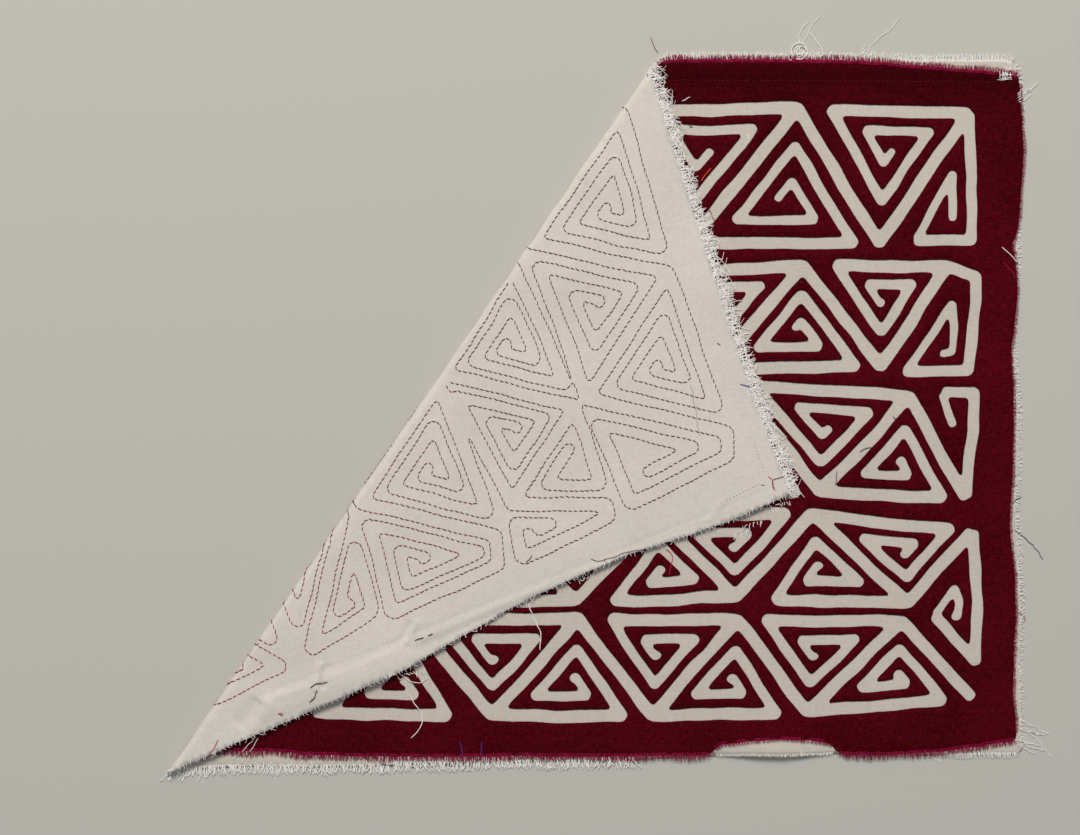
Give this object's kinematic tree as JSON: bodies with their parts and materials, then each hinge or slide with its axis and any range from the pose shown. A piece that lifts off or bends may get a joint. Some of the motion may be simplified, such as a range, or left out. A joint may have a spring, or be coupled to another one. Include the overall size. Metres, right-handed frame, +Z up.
{
  "type": "mola panel",
  "caption": "Two-layer reverse-applique cotton panel: a wine-red top cloth cut through in bands over a natural base cloth, with one side folded over onto the rest.",
  "frame": {"origin": "middle of the laid-out panel's footprint, on the surface it lies on", "axes": "+Z up; +X along the panel's long side, towards the edge that stays open; +Y towards the side where the fold begins"},
  "size_m": [0.4304, 0.3634, 0.0067],
  "materials": {
    "natural_cotton": "plain-woven unbleached cotton, matt",
    "wine_red_cotton": "plain-woven dyed cotton, matt"
  },
  "bodies": {
    "root": {"base_cloth": "natural_cotton", "top_cloth": "wine_red_cotton"}
  },
  "joints": []
}
